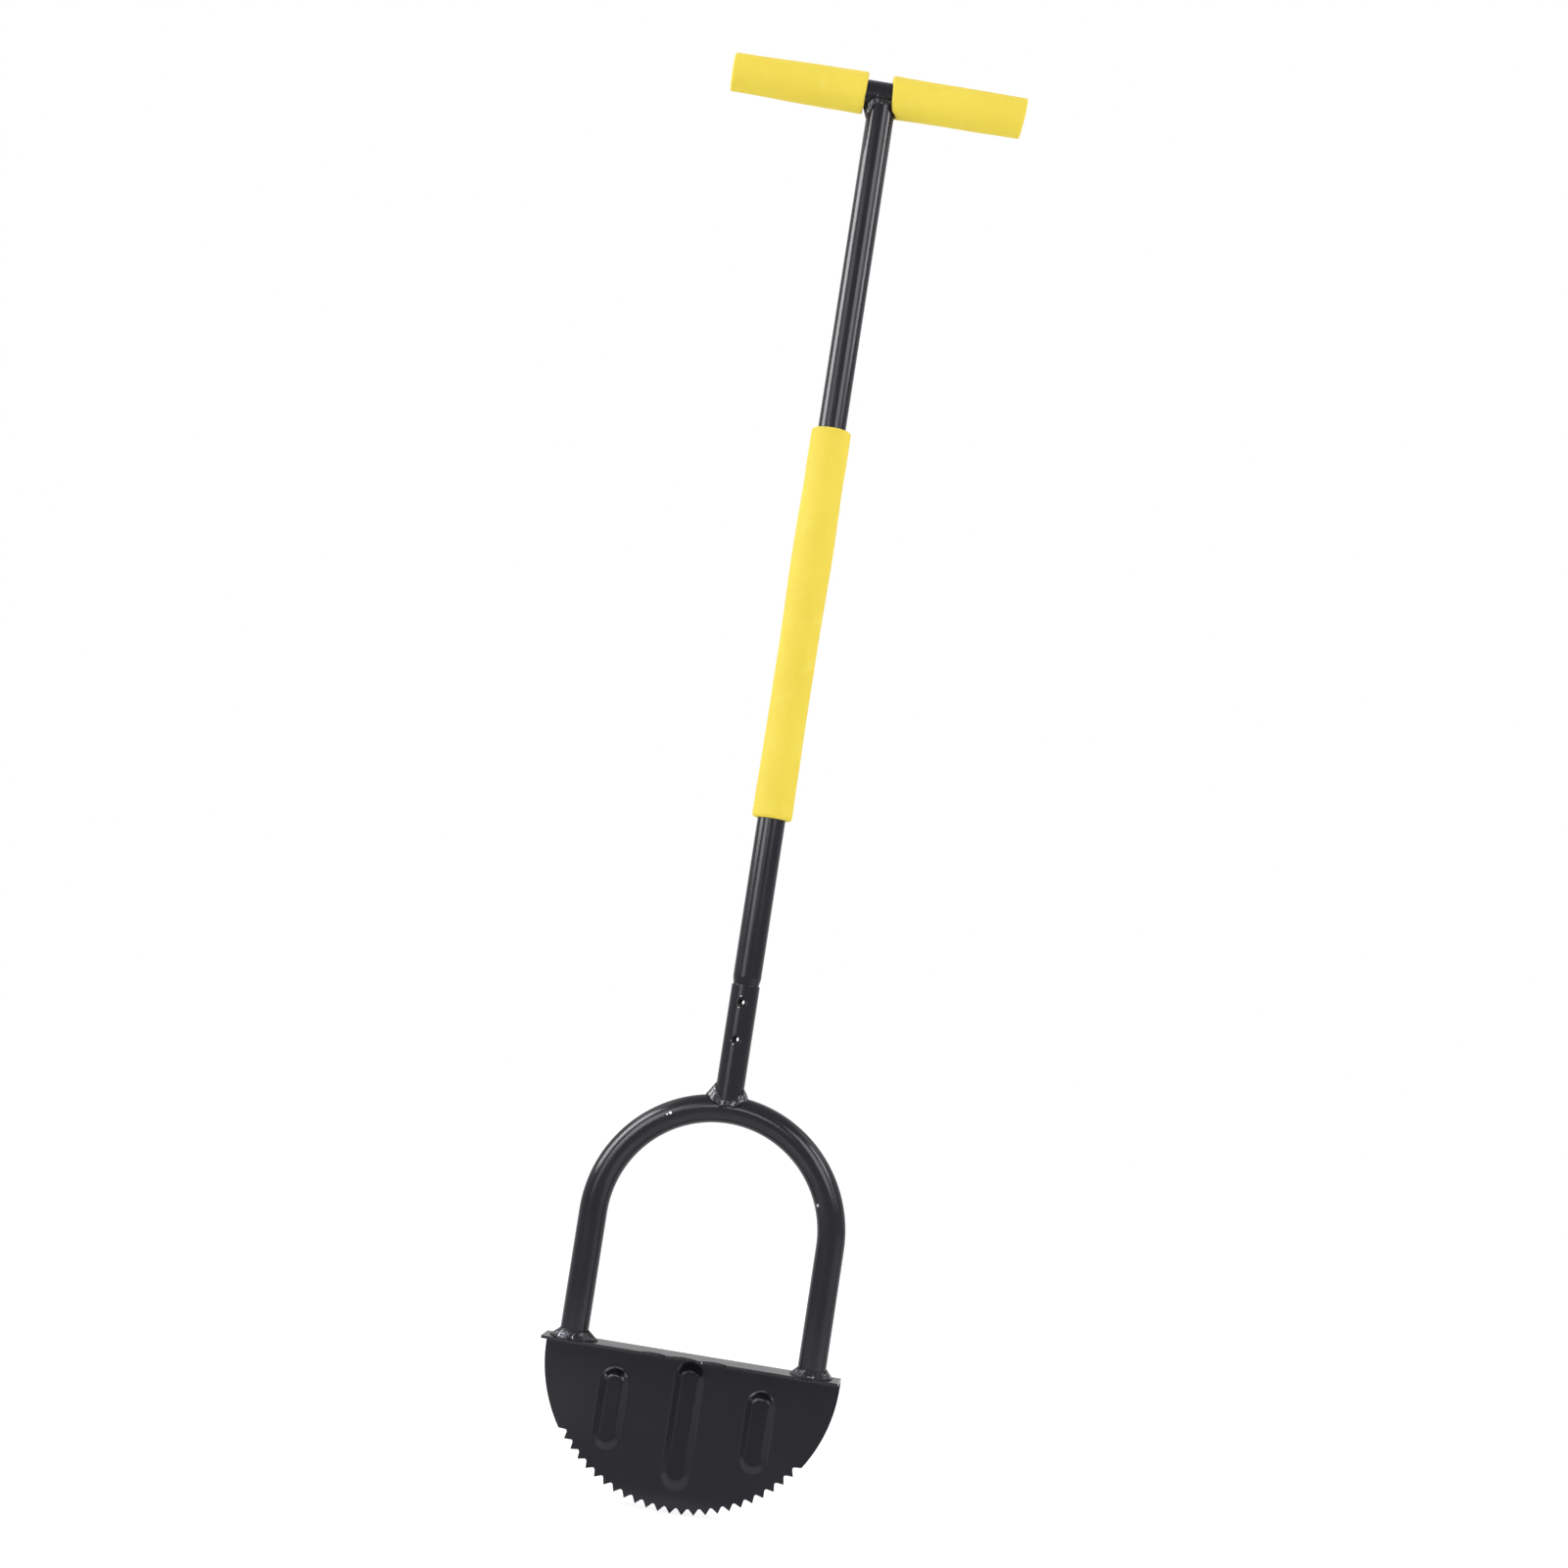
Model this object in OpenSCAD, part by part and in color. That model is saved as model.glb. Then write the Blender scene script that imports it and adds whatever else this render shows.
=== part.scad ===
// Half moon edger: a serrated half-moon blade with a folded foot step, a bent
// tube yoke with a socket on its crown, and a T handle whose swaged shaft plugs
// into that socket. Sizes are in millimetres and angles in degrees.
// Z runs up the shaft axis and -Y is the front. Z = 0 is the lowest tooth tip.

/* [Blade] */
// Radius of the half moon at the tooth tips
blade_r = 105; // [98:0.5:130]
// Thickness of the pressed sheet
sheet_t = 2; // [1:0.1:3]
// Inside radius of the fold between blade and foot step
fold_r = 1.5; // [0.5:0.1:2.5]
// Sideways offset of the welded head from the shaft axis
head_shift = 2; // [-5:0.1:5]

/* [Teeth] */
// Number of gaps between teeth, even so that one tooth points straight down
gap_count = 24; // [8:2:30]
// Angle from one tooth tip to the next
tooth_pitch = 4.65; // [3.5:0.05:5.5]
// Angle between the two flanks of a gap
gap_angle = 80; // [60:1:105]
// Radius at the bottom of a gap
gap_r = 1.5; // [0.5:0.1:2.2]

/* [Foot step] */
// Height of the step's tread above the centre of the half moon, at the legs' axes
step_rise = 6; // [5.5:0.5:25]
// Tread in front of the yoke legs
step_lip = 4; // [3:0.5:20]
// Flat tread behind the yoke legs, before the fold
step_heel = 1.5; // [0.5:0.5:15]
// Rise of the sloping tread from the legs' axes to the fold
heel_rise = 0.7; // [0:0.1:2]
// Width of each scallop in the free edge
scallop_w = 17.4; // [10:0.2:20]
// Depth of each scallop
scallop_d = 5; // [1:0.5:8]
// Distance from one scallop to the next
scallop_pitch = 21.6; // [18:0.2:40]
// Sideways offset of the middle scallop from the blade's middle
scallop_shift = -3.7; // [-20:0.1:20]

/* [Ribs] */
// Width of a rib at its foot
rib_w = 18; // [12:0.5:24]
// Height of a rib in front of the blade
rib_h = 3; // [1:0.1:5]
// Width of a rib's sloping side
rib_slope = 3; // [1.5:0.1:4]
// Length of the middle rib
mid_rib_len = 85.5; // [50:0.5:90]
// Middle rib's top end below the centre of the half moon
mid_rib_drop = 0.3; // [0:0.1:6]
// Length of each side rib
side_rib_len = 55; // [30:0.5:60]
// Side ribs' top ends below the centre of the half moon
side_rib_drop = 11.8; // [0:0.1:16]
// Distance of the side ribs from the blade's middle
side_rib_x = 52.2; // [35:0.1:58]

/* [Tubes] */
// Outside diameter of the steel tubes
tube_d = 20; // [17:0.5:22]
// Wall of the steel tubes
tube_wall = 1; // [0.8:0.1:2]

/* [Yoke and socket] */
// Axis of each yoke leg in from the end of the blade
leg_inset = 20.5; // [18.5:0.5:44.5]
// Straight length of each leg, from the tread to the start of the bend
leg_len = 89; // [40:0.5:160]
// Socket rim above the top of the yoke's crown
socket_len = 78; // [66:0.5:120]
// Diameter of the socket's cross holes
socket_hole_d = 6.5; // [5:0.1:8]
// Upper cross hole below the socket rim
hole_drop = 12.2; // [8:0.1:16]
// Distance between the two cross holes
hole_pitch = 26.3; // [12:0.1:36]

/* [Shaft] */
// Axis of the T handle above the socket rim
shaft_len = 650; // [480:1:900]
// Length of the swaged end inside the socket
spigot_len = 60; // [56:0.5:64]
// Radial clearance of the swaged end in the socket
spigot_gap = 0.1; // [0.05:0.05:0.3]
// Height of the swage's cone above the socket rim
swage_h = 5.4; // [3:0.1:15]
// Clearance between the swage's cone and the inner edge of the socket rim
seat_gap = 0.03; // [0.01:0.01:0.05]
// Diameter of the swaged end's cross holes
shaft_hole_d = 3.5; // [2.5:0.1:4.5]

/* [T handle] */
// Overall length of the T handle over its grips
cross_len = 215; // [180:0.5:320]
// Sideways offset of the welded T handle from the shaft axis
cross_shift = -3.1; // [-10:0.1:10]
// Turn of the welded T handle about the shaft axis, out of line with the blade
cross_turn = 7.5; // [-20:0.5:20]
// Left grip's inner end from the shaft axis
left_grip_x = 13; // [12:0.1:40]
// Right grip's inner end from the shaft axis
right_grip_x = 6; // [2:0.1:40]

/* [Foam grips] */
// Outside diameter of the hand grips
hand_grip_d = 30; // [26:0.5:40]
// Closed end of each hand grip, beyond the end of its tube
grip_end_t = 4; // [2:0.5:10]
// Outside diameter of the shaft grip
shaft_grip_d = 28.2; // [25:0.1:40]
// Length of the shaft grip
shaft_grip_len = 283; // [100:1:340]
// Shaft grip's lower end above the socket rim
shaft_grip_rise = 119; // [20:1:130]
// Rounding of the foam's edges
foam_round = 1.5; // [0.5:0.1:2.5]
// Clearance between foam and weld bead
foam_gap = 0.3; // [0.1:0.1:1]

/* [Weld beads] */
// Size of the beads around the yoke feet
foot_bead = 5; // [2:0.1:6]
// Size of the bead around the socket's foot
socket_bead = 3.5; // [1.5:0.1:5]
// Depth of the socket's bead below the top of the crown, at the front
socket_bead_drop = 7; // [4:0.1:8]
// Size of the bead under the T handle
cross_bead = 3; // [1.5:0.1:4]
// Height of the T handle's bead below the cross tube's axis, at the front
cross_bead_drop = 3; // [1:0.1:6]
// Root gap left at the coped tube ends for the weld
root_gap = 0.05; // [0.02:0.01:0.3]

/* [Hidden] */
$fn = 96;
// Overlap that lets cuts pass right through
eps = 1;

tube_r = tube_d / 2;
tube_bore_r = tube_r - tube_wall;
spigot_r = tube_bore_r - spigot_gap;

// Blade and foot step
bend_r = sheet_t + fold_r;
step_z = blade_r + step_rise;
step_front = -(tube_r + step_lip);
step_flat_back = tube_r + step_heel;
blade_back = step_flat_back + bend_r;
blade_front = blade_back - sheet_t;

// Sloping tread: its heights at the fold and at the free edge, and the fold's centre
tread_slope = heel_rise / step_flat_back;
tread_back_z = step_z + heel_rise;
tread_front_z = step_z + step_front * tread_slope;
fold_z = tread_back_z - bend_r;

// Teeth: half width of a gap on the chord between two tips, and its depth
gap_half = blade_r * sin(tooth_pitch / 2);
gap_chord = blade_r * cos(tooth_pitch / 2);
gap_apex = gap_half / tan(gap_angle / 2);
gap_centre = gap_apex - gap_r / sin(gap_angle / 2);

// Ribs: inset of the hollow behind a rib, for an even sheet thickness
rib_run = sqrt(rib_slope * rib_slope + rib_h * rib_h);
rib_inset = sheet_t * (rib_h / rib_run - rib_slope / rib_h * (1 - rib_slope / rib_run));

// Scallops: radius of the arc through the two corners and the deepest point
scallop_r = (scallop_w * scallop_w / 4 + scallop_d * scallop_d) / (2 * scallop_d);

// Yoke, socket, shaft and T handle heights
yoke_r = blade_r - leg_inset;
yoke_z = step_z + leg_len;
crown_z = yoke_z + yoke_r + tube_r;
rim_z = crown_z + socket_len;
cross_z = rim_z + shaft_len;

// Swage: the cone seats on the inner edge of the socket rim
seat_r = tube_bore_r - seat_gap;
swage_slope = (tube_r - seat_r) / swage_h;
swage_bottom = rim_z - (seat_r - spigot_r) / swage_slope;
spigot_bottom = rim_z - spigot_len;

// T handle
cross_left = cross_shift - cross_len / 2;
cross_right = cross_shift + cross_len / 2;

paint = [0.17, 0.17, 0.19];
bead_paint = [0.30, 0.30, 0.32];
foam = [0.95, 0.86, 0.33];

// Shared shapes

// Half moon with its straight top band, in X and Z
module blade_outline() {
    difference() {
        union() {
            intersection() {
                circle(r = blade_r);
                translate([-blade_r, -blade_r]) square([2 * blade_r, blade_r]);
            }
            translate([-blade_r, -eps]) square([2 * blade_r, fold_z - blade_r + eps]);
        }
        for (i = [0 : gap_count - 1])
            rotate(-90 + (i - (gap_count - 1) / 2) * tooth_pitch)
                tooth_gap();
    }
}

// One gap between two teeth, on the +X side of the blade's centre
module tooth_gap() {
    half = gap_angle / 2;
    reach = gap_half + eps * tan(half);
    touch_x = gap_centre + gap_r * sin(half);
    touch_y = gap_r * cos(half);
    translate([gap_chord - touch_x, 0])
        polygon([[0, -touch_y], [touch_x + eps, -reach], [touch_x + eps, reach], [0, touch_y]]);
    translate([gap_chord - gap_centre, 0]) circle(r = gap_r);
}

// Fold and tread of the foot step, in Y and Z
module step_profile() {
    translate([step_flat_back, fold_z])
        intersection() {
            difference() {
                circle(r = bend_r);
                circle(r = fold_r);
            }
            square(bend_r);
        }
    polygon([
        [step_front, tread_front_z], [step_front, tread_front_z - sheet_t],
        [step_flat_back, tread_back_z - sheet_t], [step_flat_back, tread_back_z]
    ]);
}

// Stadium-shaped frustum along Z, foot at Y = 0 and top at Y = -height
module stadium(length, width, height, slope) {
    straight = length - width;
    for (end = [-1, 1])
        translate([0, 0, end * straight / 2])
            rotate([90, 0, 0])
                cylinder(r1 = width / 2, r2 = width / 2 - slope, h = height);
    translate([0, 0, -straight / 2])
        linear_extrude(straight)
            polygon([
                [-width / 2, 0], [width / 2, 0],
                [width / 2 - slope, -height], [slope - width / 2, -height]
            ]);
}

// Places its children at the foot centre of each rib, with the rib's length
module at_ribs() {
    for (x = [-side_rib_x, 0, side_rib_x]) {
        $rib_len = x == 0 ? mid_rib_len : side_rib_len;
        drop = x == 0 ? mid_rib_drop : side_rib_drop;
        translate([x, 0, blade_r - drop - $rib_len / 2]) children();
    }
}

// Half ring of the yoke's bend, as a solid bar of radius r
module yoke_bend(r) {
    translate([head_shift, 0, yoke_z])
        rotate([90, 0, 0])
            rotate_extrude(angle = 180)
                translate([yoke_r, 0]) circle(r = r);
}

// Both straight yoke legs, as solid bars of radius r that run on below the tread
module yoke_legs(r) {
    for (side = [-1, 1])
        translate([head_shift + side * yoke_r, 0, step_z - tube_r])
            cylinder(r = r, h = leg_len + tube_r);
}

// Block under the plane of the tread, wider than the blade
module under_tread() {
    reach = 2 * tube_d;
    translate([head_shift - 2 * blade_r, 0, 0])
        rotate([90, 0, 90])
            linear_extrude(4 * blade_r)
                polygon([
                    [-reach, step_z - reach * tread_slope], [-reach, step_z - reach],
                    [reach, step_z - reach], [reach, step_z + reach * tread_slope]
                ]);
}

// Space on the flat part of the tread, as long as the blade and of a given height at its fold
module on_tread(height) {
    translate([head_shift - blade_r, 0, 0])
        rotate([90, 0, 90])
            linear_extrude(2 * blade_r)
                polygon([
                    [step_front, tread_front_z], [step_flat_back, tread_back_z],
                    [step_flat_back, tread_back_z + height], [step_front, tread_back_z + height]
                ]);
}

// Bar of radius r along the T handle, between two distances from the shaft axis
module cross_bar(r, x0, x1) {
    rotate([0, 0, cross_turn])
        translate([x0, 0, cross_z])
            rotate([0, 90, 0])
                cylinder(r = r, h = x1 - x0);
}

// Cross holes through a tube on the shaft axis
module cross_holes(d) {
    for (drop = [hole_drop, hole_drop + hole_pitch])
        translate([0, 0, rim_z - drop])
            rotate([90, 0, 0])
                cylinder(d = d, h = 2 * tube_d, center = true);
}

// Bead around one yoke foot, kept on the tread
module foot_weld(side) {
    sink = (tube_r + foot_bead) * tread_slope;
    tall = foot_bead + sink;
    intersection() {
        translate([head_shift + side * yoke_r, 0, step_z - sink])
            difference() {
                cylinder(r1 = tube_r + tall, r2 = tube_r, h = tall);
                translate([0, 0, -eps]) cylinder(r = tube_r, h = tall + 2 * eps);
            }
        on_tread(2 * foot_bead);
    }
}

// Foam sleeve profile: outer radius r, length len, bore bore_r and bore length bore_len
module sleeve(r, len, bore_r, bore_len) {
    c = foam_round;
    rotate_extrude()
        difference() {
            union() {
                translate([0, c]) square([r, len - 2 * c]);
                square([r - c, len]);
                for (z = [c, len - c])
                    translate([r - c, z]) circle(r = c);
            }
            translate([0, -eps]) square([bore_r, bore_len + eps]);
        }
}

// Sub-parts

module blade() {
    color(paint)
        translate([head_shift, 0, 0])
            difference() {
                union() {
                    translate([0, blade_back, blade_r])
                        rotate([90, 0, 0])
                            linear_extrude(sheet_t) blade_outline();
                    translate([-blade_r, 0, 0])
                        rotate([90, 0, 90])
                            linear_extrude(2 * blade_r) step_profile();
                    translate([0, blade_front, 0])
                        at_ribs() stadium($rib_len, rib_w, rib_h, rib_slope);
                }
                translate([0, blade_back, 0])
                    at_ribs()
                        stadium($rib_len - 2 * rib_inset, rib_w - 2 * rib_inset, rib_h, rib_slope);
                translate([scallop_shift, step_front + scallop_d - scallop_r, tread_front_z - sheet_t - eps])
                    for (i = [-1, 0, 1])
                        translate([i * scallop_pitch, 0, 0])
                            cylinder(r = scallop_r, h = tread_back_z - tread_front_z + sheet_t + 2 * eps);
            }
}

module yoke_tube() {
    color(paint)
        difference() {
            union() {
                yoke_bend(tube_r);
                yoke_legs(tube_r);
            }
            yoke_bend(tube_bore_r);
            yoke_legs(tube_bore_r);
            under_tread();
        }
}

module left_foot_weld() {
    color(bead_paint) foot_weld(-1);
}

module right_foot_weld() {
    color(bead_paint) foot_weld(1);
}

module socket_tube() {
    foot_z = crown_z - tube_r;
    color(paint)
        difference() {
            translate([0, 0, foot_z]) cylinder(r = tube_r, h = rim_z - foot_z);
            translate([0, 0, foot_z - eps]) cylinder(r = tube_bore_r, h = rim_z - foot_z + 2 * eps);
            yoke_bend(tube_r + root_gap);
            cross_holes(socket_hole_d);
        }
}

module socket_weld() {
    color(bead_paint)
        difference() {
            intersection() {
                translate([0, 0, crown_z - socket_bead_drop])
                    cylinder(r = tube_r + socket_bead, h = socket_bead_drop + 2 * socket_bead);
                yoke_bend(tube_r + socket_bead);
            }
            translate([0, 0, crown_z - tube_d]) cylinder(r = tube_r, h = 2 * tube_d);
            yoke_bend(tube_r);
        }
}

module shaft_tube() {
    color(paint)
        difference() {
            rotate_extrude()
                polygon([
                    [spigot_r - tube_wall, spigot_bottom], [spigot_r, spigot_bottom],
                    [spigot_r, swage_bottom], [tube_r, rim_z + swage_h],
                    [tube_r, cross_z], [tube_bore_r, cross_z],
                    [tube_bore_r, rim_z + swage_h], [spigot_r - tube_wall, swage_bottom]
                ]);
            cross_bar(tube_r + root_gap, -tube_d, tube_d);
            cross_holes(shaft_hole_d);
        }
}

module cross_tube() {
    color(paint)
        difference() {
            cross_bar(tube_r, cross_left + grip_end_t, cross_right - grip_end_t);
            cross_bar(tube_bore_r, cross_left + grip_end_t - eps, cross_right - grip_end_t + eps);
        }
}

module cross_tube_weld() {
    color(bead_paint)
        difference() {
            intersection() {
                translate([0, 0, cross_z - tube_d])
                    cylinder(r = tube_r + cross_bead, h = tube_d - cross_bead_drop);
                cross_bar(tube_r + cross_bead, foam_gap - left_grip_x, tube_r + cross_bead);
            }
            translate([0, 0, cross_z - 2 * tube_d]) cylinder(r = tube_r, h = 2 * tube_d);
            cross_bar(tube_r, -tube_d, tube_d);
        }
}

module left_hand_grip() {
    len = -left_grip_x - cross_left;
    color(foam)
        rotate([0, 0, cross_turn])
            translate([-left_grip_x, 0, cross_z])
                rotate([0, -90, 0])
                    sleeve(hand_grip_d / 2, len, tube_r, len - grip_end_t);
}

module right_hand_grip() {
    len = cross_right - right_grip_x;
    color(foam)
        difference() {
            rotate([0, 0, cross_turn])
                translate([right_grip_x, 0, cross_z])
                    rotate([0, 90, 0])
                        sleeve(hand_grip_d / 2, len, tube_r, len - grip_end_t);
            translate([0, 0, cross_z - hand_grip_d])
                cylinder(r = tube_r + cross_bead + foam_gap, h = hand_grip_d);
        }
}

module shaft_grip() {
    color(foam)
        translate([0, 0, rim_z + shaft_grip_rise])
            sleeve(shaft_grip_d / 2, shaft_grip_len, tube_r, shaft_grip_len + eps);
}

blade();
yoke_tube();
left_foot_weld();
right_foot_weld();
socket_tube();
socket_weld();
shaft_tube();
cross_tube();
cross_tube_weld();
left_hand_grip();
right_hand_grip();
shaft_grip();
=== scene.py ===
"""Looks of the half moon edger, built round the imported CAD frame. Metres; Z up the shaft, -Y to the front."""

import math
import random

import bpy
import bmesh
import numpy as np
from mathutils import Matrix, Vector, geometry, noise


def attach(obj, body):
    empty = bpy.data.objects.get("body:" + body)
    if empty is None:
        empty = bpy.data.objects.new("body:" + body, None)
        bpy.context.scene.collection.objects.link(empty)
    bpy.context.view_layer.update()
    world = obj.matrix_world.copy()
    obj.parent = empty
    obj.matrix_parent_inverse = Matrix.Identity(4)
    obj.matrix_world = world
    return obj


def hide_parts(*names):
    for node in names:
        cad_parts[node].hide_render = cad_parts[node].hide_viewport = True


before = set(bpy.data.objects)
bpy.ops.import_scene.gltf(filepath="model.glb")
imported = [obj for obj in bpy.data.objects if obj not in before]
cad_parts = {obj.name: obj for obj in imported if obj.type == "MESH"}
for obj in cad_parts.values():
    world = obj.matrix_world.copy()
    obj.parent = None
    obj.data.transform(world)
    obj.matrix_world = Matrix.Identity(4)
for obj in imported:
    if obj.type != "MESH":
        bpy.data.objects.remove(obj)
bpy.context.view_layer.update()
scene = bpy.context.scene
MM = 0.001

# Width of the photograph in pixels, and the size of one pixel at the object in metres
PHOTO_PIXELS = 1601
PIXEL_SIZE = 0.000695

# Driving sizes of the CAD frame that the new pieces follow, in millimetres and degrees
TUBE_R = 10.0
HEAD_X = 2.0
BLADE_R = 105.0
SHEET_HALF = 1.0
GAP_COUNT = 24
TOOTH_PITCH = 4.65
GAP_HALF_ANGLE = 40.0
GAP_R = 1.5
STEP_RISE = 6.0
STEP_LIP = 4.0
STEP_HEEL = 1.5
HEEL_RISE = 0.7
SCALLOP_SHIFT = -3.7
SCALLOP_PITCH = 21.6
SCALLOP_HALF = 8.7
SCALLOP_DEPTH = 5.0
RIB_HALF = 9.0
RIB_H = 3.0
LEG_INSET = 20.5
LEG_LEN = 89.0
SOCKET_LEN = 78.0
HOLE_DROP = 12.2
HOLE_PITCH = 26.3
SHAFT_LEN = 650.0
CROSS_LEN = 215.0
CROSS_SHIFT = -3.1
CROSS_ANGLE = 7.5
LEFT_GRIP_X = 13.0
RIGHT_GRIP_X = 6.0
HAND_GRIP_R = 15.0
SHAFT_GRIP_RISE = 119.0
SHAFT_GRIP_LEN = 283.0

# Each rib's middle across the blade, its top end below the half moon's centre, and its length
RIBS = ((-52.2, 11.8, 55.0), (0.0, 0.3, 85.5), (52.2, 11.8, 55.0))

# Places and angles worked out from them
FIRST_TIP = -90 - GAP_COUNT / 2 * TOOTH_PITCH
STEP_Z = BLADE_R + STEP_RISE
STEP_FRONT = -TUBE_R - STEP_LIP
STEP_BACK = TUBE_R + STEP_HEEL
TREAD_SLOPE = HEEL_RISE / STEP_BACK
YOKE_R = BLADE_R - LEG_INSET
YOKE_Z = STEP_Z + LEG_LEN
CROWN_Z = YOKE_Z + YOKE_R + TUBE_R
RIM_Z = CROWN_Z + SOCKET_LEN
UPPER_HOLE_Z = RIM_Z - HOLE_DROP
LOWER_HOLE_Z = UPPER_HOLE_Z - HOLE_PITCH
CROSS_Z = RIM_Z + SHAFT_LEN
CROSS_LEFT = CROSS_SHIFT - CROSS_LEN / 2
CROSS_RIGHT = CROSS_SHIFT + CROSS_LEN / 2
CROSS_TURN = math.radians(CROSS_ANGLE)
SHAFT_GRIP_Z = RIM_Z + SHAFT_GRIP_RISE

# Fold of the sheet, along its middle, and the sheet's flat length; its free edge stays just behind the CAD's
FOLD_R = 2.5
FOLD_STEPS = 6
EDGE_TRIM = 0.15
FOLD_Z = STEP_Z + HEEL_RISE - FOLD_R - SHEET_HALF
FOLD_TURN = math.pi / 2 + math.atan(TREAD_SLOPE)
FOLD_LEN = FOLD_R * FOLD_TURN
FOLD_ROWS = [FOLD_Z + FOLD_LEN * k / FOLD_STEPS for k in range(FOLD_STEPS + 1)]
SHEET_END = FOLD_Z + FOLD_LEN + (STEP_BACK - STEP_FRONT - EDGE_TRIM) / math.sin(FOLD_TURN)

# Foam: slimmest radius of the shaft grip, bore over the tubes, and thickness of a hand grip's closed end
SHAFT_FOAM_R = 13.8
FOAM_BORE = TUBE_R + 0.05
FOAM_CAP = 3.8


# Camera

def make_camera():
    """Camera of the photograph: turned a little to the right, looking slightly up, and rolled."""
    yaw, pitch, roll = math.radians(5.95), math.radians(4.95), math.radians(8.77)
    distance, sensor = 2.2, 36
    target = Vector((0.0049, 0, 0.5175))
    ahead = Vector((-math.sin(yaw) * math.cos(pitch), math.cos(yaw) * math.cos(pitch), math.sin(pitch)))
    level = Vector((math.cos(yaw), math.sin(yaw), 0))
    upright = level.cross(ahead)
    right = level * math.cos(roll) + upright * math.sin(roll)
    up = upright * math.cos(roll) - level * math.sin(roll)
    data = bpy.data.cameras.new("camera")
    data.sensor_width = sensor
    data.lens = sensor * (distance / PIXEL_SIZE) / PHOTO_PIXELS
    data.clip_end = 50
    cam = bpy.data.objects.new("camera", data)
    place = Matrix((right, up, -ahead)).transposed().to_4x4()
    place.translation = target - ahead * distance
    cam.matrix_world = place
    scene.collection.objects.link(cam)
    scene.camera = cam


# Node helpers

class Nodes:
    """A node tree with short calls for adding and linking nodes."""

    def __init__(self, tree):
        self.tree = tree
        tree.nodes.clear()

    def add(self, kind, **values):
        node = self.tree.nodes.new("ShaderNode" + kind)
        for key, value in values.items():
            setattr(node, key, value)
        return node

    def link(self, source, target):
        self.tree.links.new(source, target)

    def feed(self, socket, value):
        if isinstance(value, bpy.types.NodeSocket):
            self.link(value, socket)
        else:
            socket.default_value = value

    def math(self, op, a, b):
        node = self.add("Math", operation=op)
        self.feed(node.inputs[0], a)
        self.feed(node.inputs[1], b)
        return node.outputs[0]

    def noise(self, where, scale, detail, rough):
        node = self.add("TexNoise")
        self.link(where, node.inputs["Vector"])
        node.inputs["Scale"].default_value = scale
        node.inputs["Detail"].default_value = detail
        node.inputs["Roughness"].default_value = rough
        return node.outputs["Fac"]

    def span(self, value, low, high, to_low=0.0, to_high=1.0):
        node = self.add("MapRange")
        for socket, v in zip(node.inputs, (value, low, high, to_low, to_high)):
            self.feed(socket, v)
        return node.outputs[0]

    def blend(self, fac, a, b):
        node = self.add("Mix", data_type="RGBA")
        self.feed(node.inputs[0], fac)
        self.feed(node.inputs[6], a)
        self.feed(node.inputs[7], b)
        return node.outputs[2]

    def upward(self, vector):
        """Z of a vector."""
        node = self.add("SeparateXYZ")
        self.link(vector, node.inputs[0])
        return node.outputs["Z"]

    def ridge(self):
        """Value that the mesh code stored at each point."""
        return self.add("Attribute", attribute_name="ridge").outputs["Fac"]

    def bump(self, height, strength, distance, normal=None):
        node = self.add("Bump")
        node.inputs["Strength"].default_value = strength
        node.inputs["Distance"].default_value = distance
        self.link(height, node.inputs["Height"])
        if normal is not None:
            self.link(normal, node.inputs["Normal"])
        return node.outputs["Normal"]


def empty_material(name):
    mat = bpy.data.materials.new(name)
    mat.use_nodes = True
    return mat, Nodes(mat.node_tree)


def new_material(name):
    mat, n = empty_material(name)
    shader = n.add("BsdfPrincipled")
    n.link(shader.outputs[0], n.add("OutputMaterial").inputs[0])
    where = n.add("TexCoord").outputs["Object"]
    return mat, n, shader, where


# Materials

def near_point(n, where, point, radius, jitter):
    """1 close to a point given in millimetres, falling to 0 at about the radius, with a ragged rim."""
    away = n.add("VectorMath", operation="DISTANCE")
    n.link(where, away.inputs[0])
    away.inputs[1].default_value = Vector(point) * MM
    ragged = n.math("ADD", away.outputs["Value"], n.math("MULTIPLY", jitter, 0.9 * radius * MM))
    return n.span(ragged, 1.15 * radius * MM, 0.85 * radius * MM)


def chips_and_glints_mask(n, where, chips_and_glints):
    """1 on the chipped spots of a coat and on painted highlight glints, given as points and radii in
    millimetres.
    """
    jitter = n.math("SUBTRACT", n.noise(where, 700, 3, 0.6), 0.5)
    spots = [near_point(n, where, point, radius, jitter) for point, radius in chips_and_glints]
    bare = spots[0]
    for spot in spots[1:]:
        bare = n.math("MAXIMUM", bare, spot)
    return bare


def rubbed_and_highlit_edges(n, where, rounded, normal, rub_and_highlight):
    """Up to the given level on the edges, where the rounded normal leaves the flat one, in patches: rubbed
    edges and painted highlight.
    """
    along = n.add("VectorMath", operation="DOT_PRODUCT")
    n.link(rounded, along.inputs[0])
    n.link(normal, along.inputs[1])
    edge = n.span(along.outputs["Value"], 0.992, 0.93)
    patchy = n.span(n.noise(where, 190, 4, 0.7), 0.42, 0.66)
    return n.math("MULTIPLY", edge, n.math("MULTIPLY", patchy, rub_and_highlight))


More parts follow.
